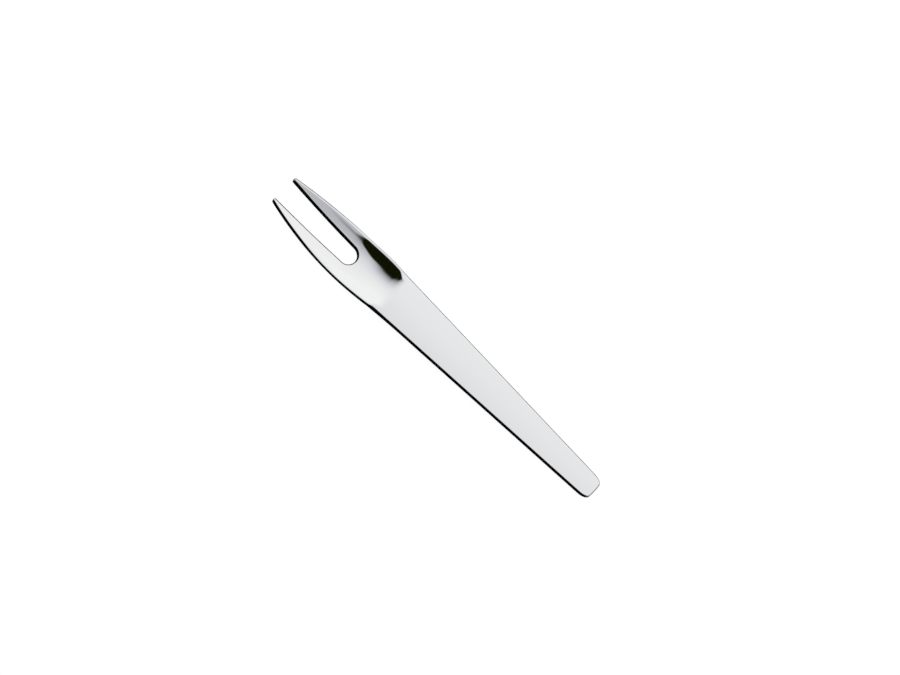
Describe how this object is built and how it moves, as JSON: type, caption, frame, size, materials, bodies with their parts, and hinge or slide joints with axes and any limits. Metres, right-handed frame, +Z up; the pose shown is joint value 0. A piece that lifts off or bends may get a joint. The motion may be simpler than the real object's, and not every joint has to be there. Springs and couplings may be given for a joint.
{
  "type": "appetizer fork",
  "caption": "One-piece polished steel appetizer fork: a flat tapering handle, a shallow scooped head and pointed tines either side of a long U-shaped slot.",
  "frame": {"origin": "middle of the fork's outline on the table, at the height of the faces it rests on", "axes": "+X from the tips towards the handle's free end, +Y across the fork, +Z up from the table; the scoop faces up"},
  "size_m": [0.15, 0.0196, 0.0046],
  "materials": {
    "steel": "mirror-polished stainless steel"
  },
  "bodies": {
    "root": {"fork": "steel"}
  },
  "joints": []
}
